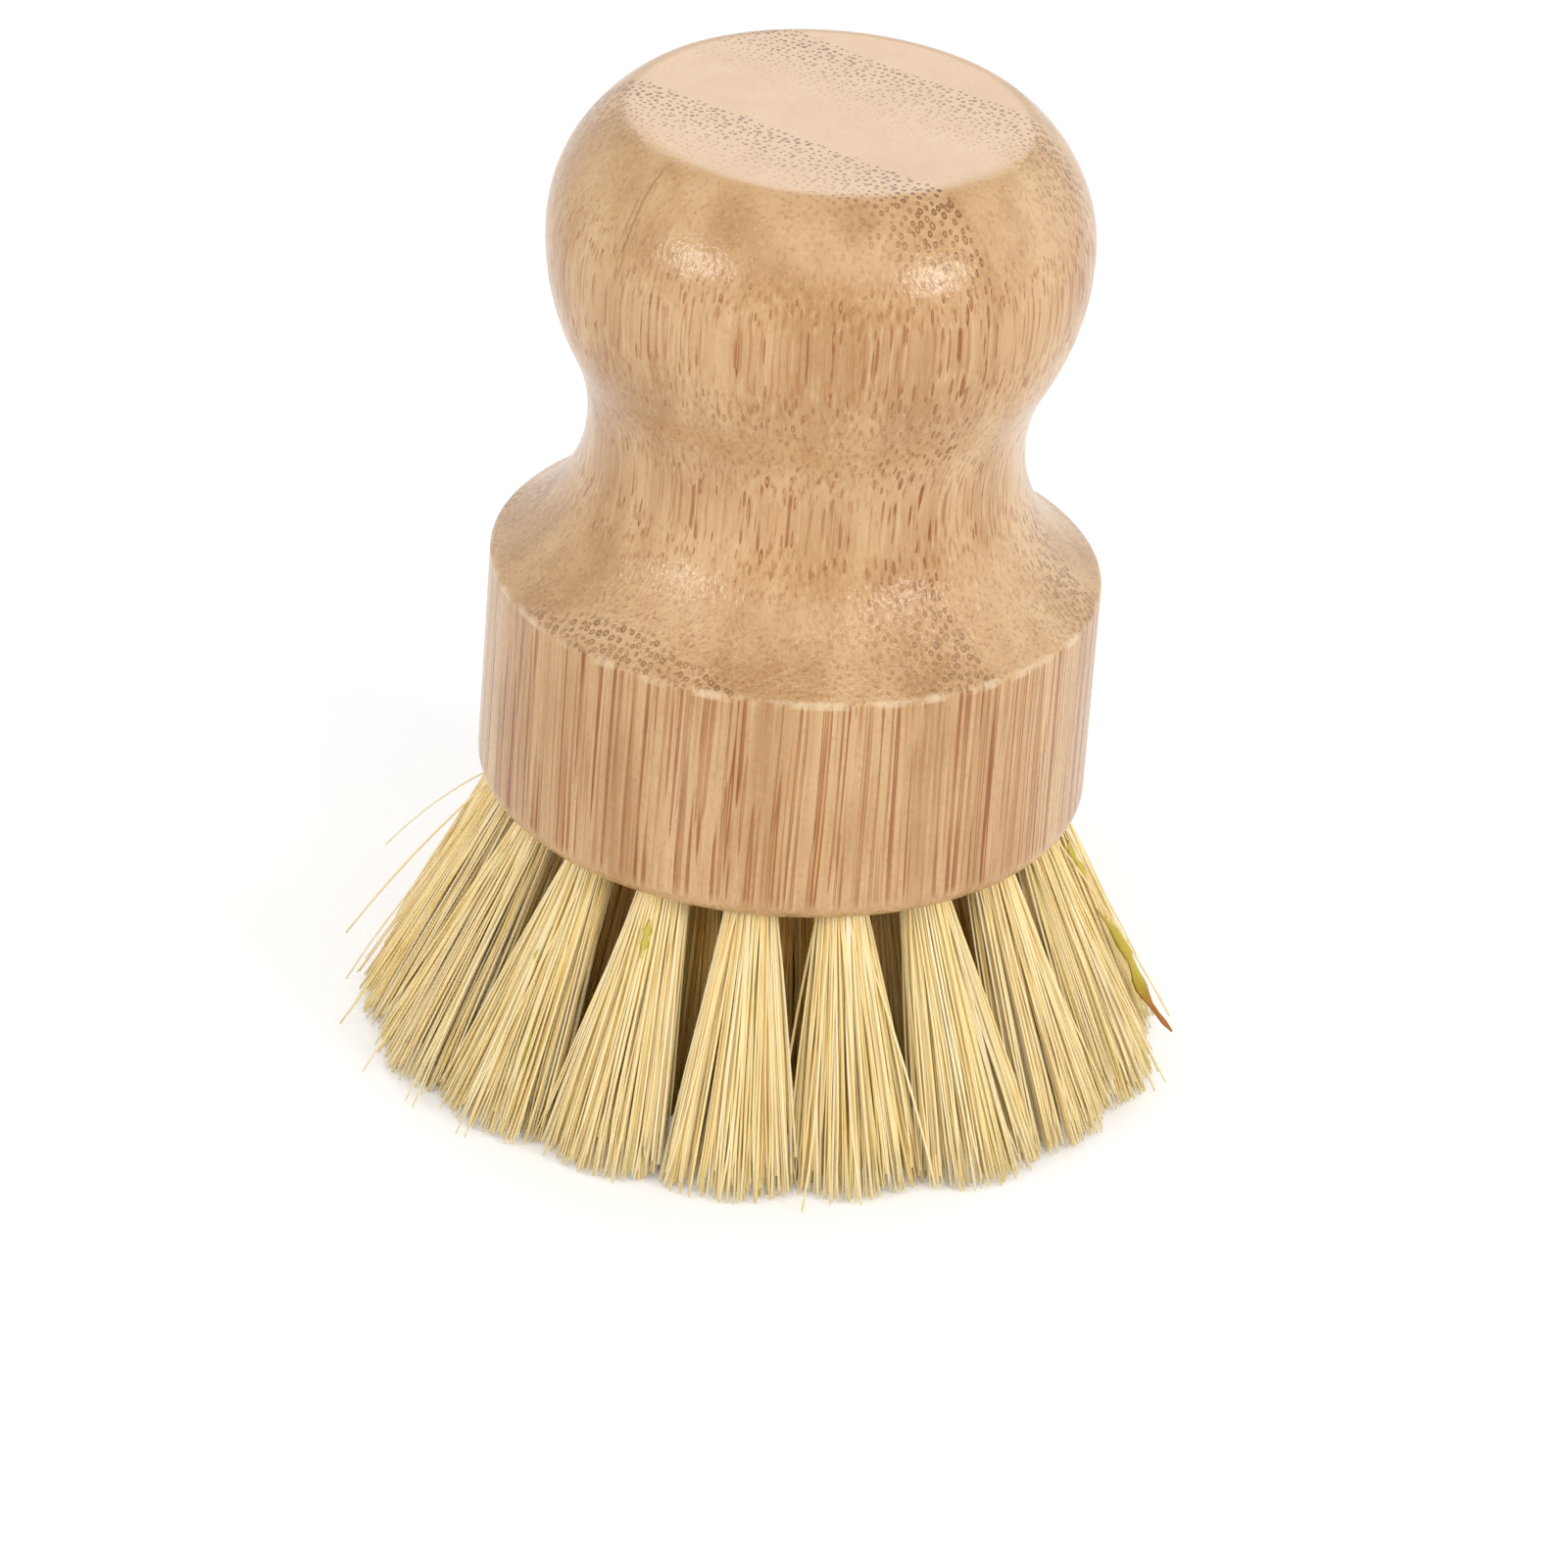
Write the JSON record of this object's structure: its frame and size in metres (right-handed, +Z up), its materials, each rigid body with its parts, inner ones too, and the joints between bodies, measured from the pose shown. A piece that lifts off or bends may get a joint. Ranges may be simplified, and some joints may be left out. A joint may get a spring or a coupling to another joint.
{
  "type": "dish brush",
  "caption": "Palm dish brush: turned bamboo knob handle with a waist, and a round base filled with leaning, stapled tufts of stiff plant fibre trimmed flat.",
  "frame": {"origin": "middle of the circle of trimmed bristle tips, where the brush stands on a surface", "axes": "+Z up the turning axis from the bristle tips to the knob's flat top; +X through one outer tuft"},
  "size_m": [0.0674, 0.0666, 0.0858],
  "materials": {
    "handle_bamboo": "satin varnish",
    "tuft_fibre": "matte",
    "staple_wire": "drawn"
  },
  "bodies": {
    "root": {"centre_staple": "staple_wire", "centre_tuft": "tuft_fibre", "handle": "handle_bamboo", "inner_staples": "staple_wire", "inner_tuft_01": "tuft_fibre", "inner_tuft_02": "tuft_fibre", "inner_tuft_03": "tuft_fibre", "inner_tuft_04": "tuft_fibre", "inner_tuft_05": "tuft_fibre", "inner_tuft_06": "tuft_fibre", "middle_staples": "staple_wire", "middle_tuft_01": "tuft_fibre", "middle_tuft_02": "tuft_fibre", "middle_tuft_03": "tuft_fibre", "middle_tuft_04": "tuft_fibre", "middle_tuft_05": "tuft_fibre", "middle_tuft_06": "tuft_fibre", "middle_tuft_07": "tuft_fibre", "middle_tuft_08": "tuft_fibre", "middle_tuft_09": "tuft_fibre", "middle_tuft_10": "tuft_fibre", "middle_tuft_11": "tuft_fibre", "middle_tuft_12": "tuft_fibre", "outer_staples": "staple_wire", "outer_tuft_01": "tuft_fibre", "outer_tuft_02": "tuft_fibre", "outer_tuft_03": "tuft_fibre", "outer_tuft_04": "tuft_fibre", "outer_tuft_05": "tuft_fibre", "outer_tuft_06": "tuft_fibre", "outer_tuft_07": "tuft_fibre", "outer_tuft_08": "tuft_fibre", "outer_tuft_09": "tuft_fibre", "outer_tuft_10": "tuft_fibre", "outer_tuft_11": "tuft_fibre", "outer_tuft_12": "tuft_fibre", "outer_tuft_13": "tuft_fibre", "outer_tuft_14": "tuft_fibre", "outer_tuft_15": "tuft_fibre", "outer_tuft_16": "tuft_fibre", "outer_tuft_17": "tuft_fibre", "outer_tuft_18": "tuft_fibre"}
  },
  "joints": []
}
